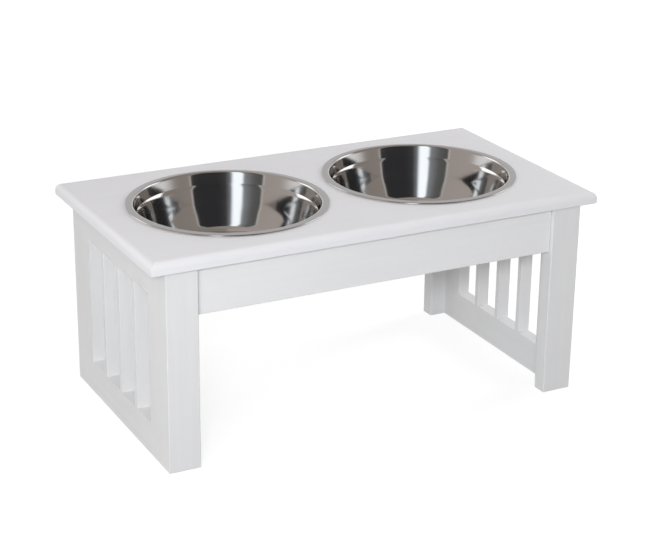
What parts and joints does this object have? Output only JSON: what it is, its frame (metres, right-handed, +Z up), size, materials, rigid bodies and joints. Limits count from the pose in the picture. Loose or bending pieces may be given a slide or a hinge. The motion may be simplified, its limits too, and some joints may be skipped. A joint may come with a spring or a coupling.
{
  "type": "raised pet feeder stand",
  "caption": "Low white table with slatted ends whose top holds steel bowls in round cut-outs, raising a dog's food and water.",
  "frame": {"origin": "on the floor under the middle of the stand", "axes": "+Z up, +X to the right as seen from the front, the front faces -Y"},
  "size_m": [0.584, 0.314, 0.2624],
  "materials": {
    "white_paint": "satin white paint over fibreboard",
    "polished_steel": "polished stainless sheet",
    "zinc": "cast zinc and zinc-plated steel",
    "beech": "bare turned beech"
  },
  "bodies": {
    "stand": {"top_board": "white_paint", "front_apron": "white_paint", "back_apron": "white_paint", "front_left_leg": "white_paint", "front_right_leg": "white_paint", "back_left_leg": "white_paint", "back_right_leg": "white_paint", "left_front_stile": "white_paint", "left_back_stile": "white_paint", "left_top_rail": "white_paint", "left_bottom_rail": "white_paint", "left_front_slat": "white_paint", "left_middle_slat": "white_paint", "left_back_slat": "white_paint", "right_front_stile": "white_paint", "right_back_stile": "white_paint", "right_top_rail": "white_paint", "right_bottom_rail": "white_paint", "right_front_slat": "white_paint", "right_middle_slat": "white_paint", "right_back_slat": "white_paint", "stile_dowels": "beech", "rail_dowels": "beech", "apron_dowels": "beech", "top_dowels": "beech", "apron_cam_bolts": "zinc", "apron_cam_discs": "zinc", "top_cam_bolts": "zinc", "top_cam_discs": "zinc"},
    "left_bowl": {"left_bowl": "polished_steel"},
    "right_bowl": {"right_bowl": "polished_steel"}
  },
  "joints": [
    {"name": "left_bowl_lift", "type": "slide", "parent": "stand", "child": "left_bowl", "axis": [0, 0, 1], "range_m": [0, 0.09]},
    {"name": "right_bowl_lift", "type": "slide", "parent": "stand", "child": "right_bowl", "axis": [0, 0, 1], "range_m": [0, 0.09]}
  ]
}
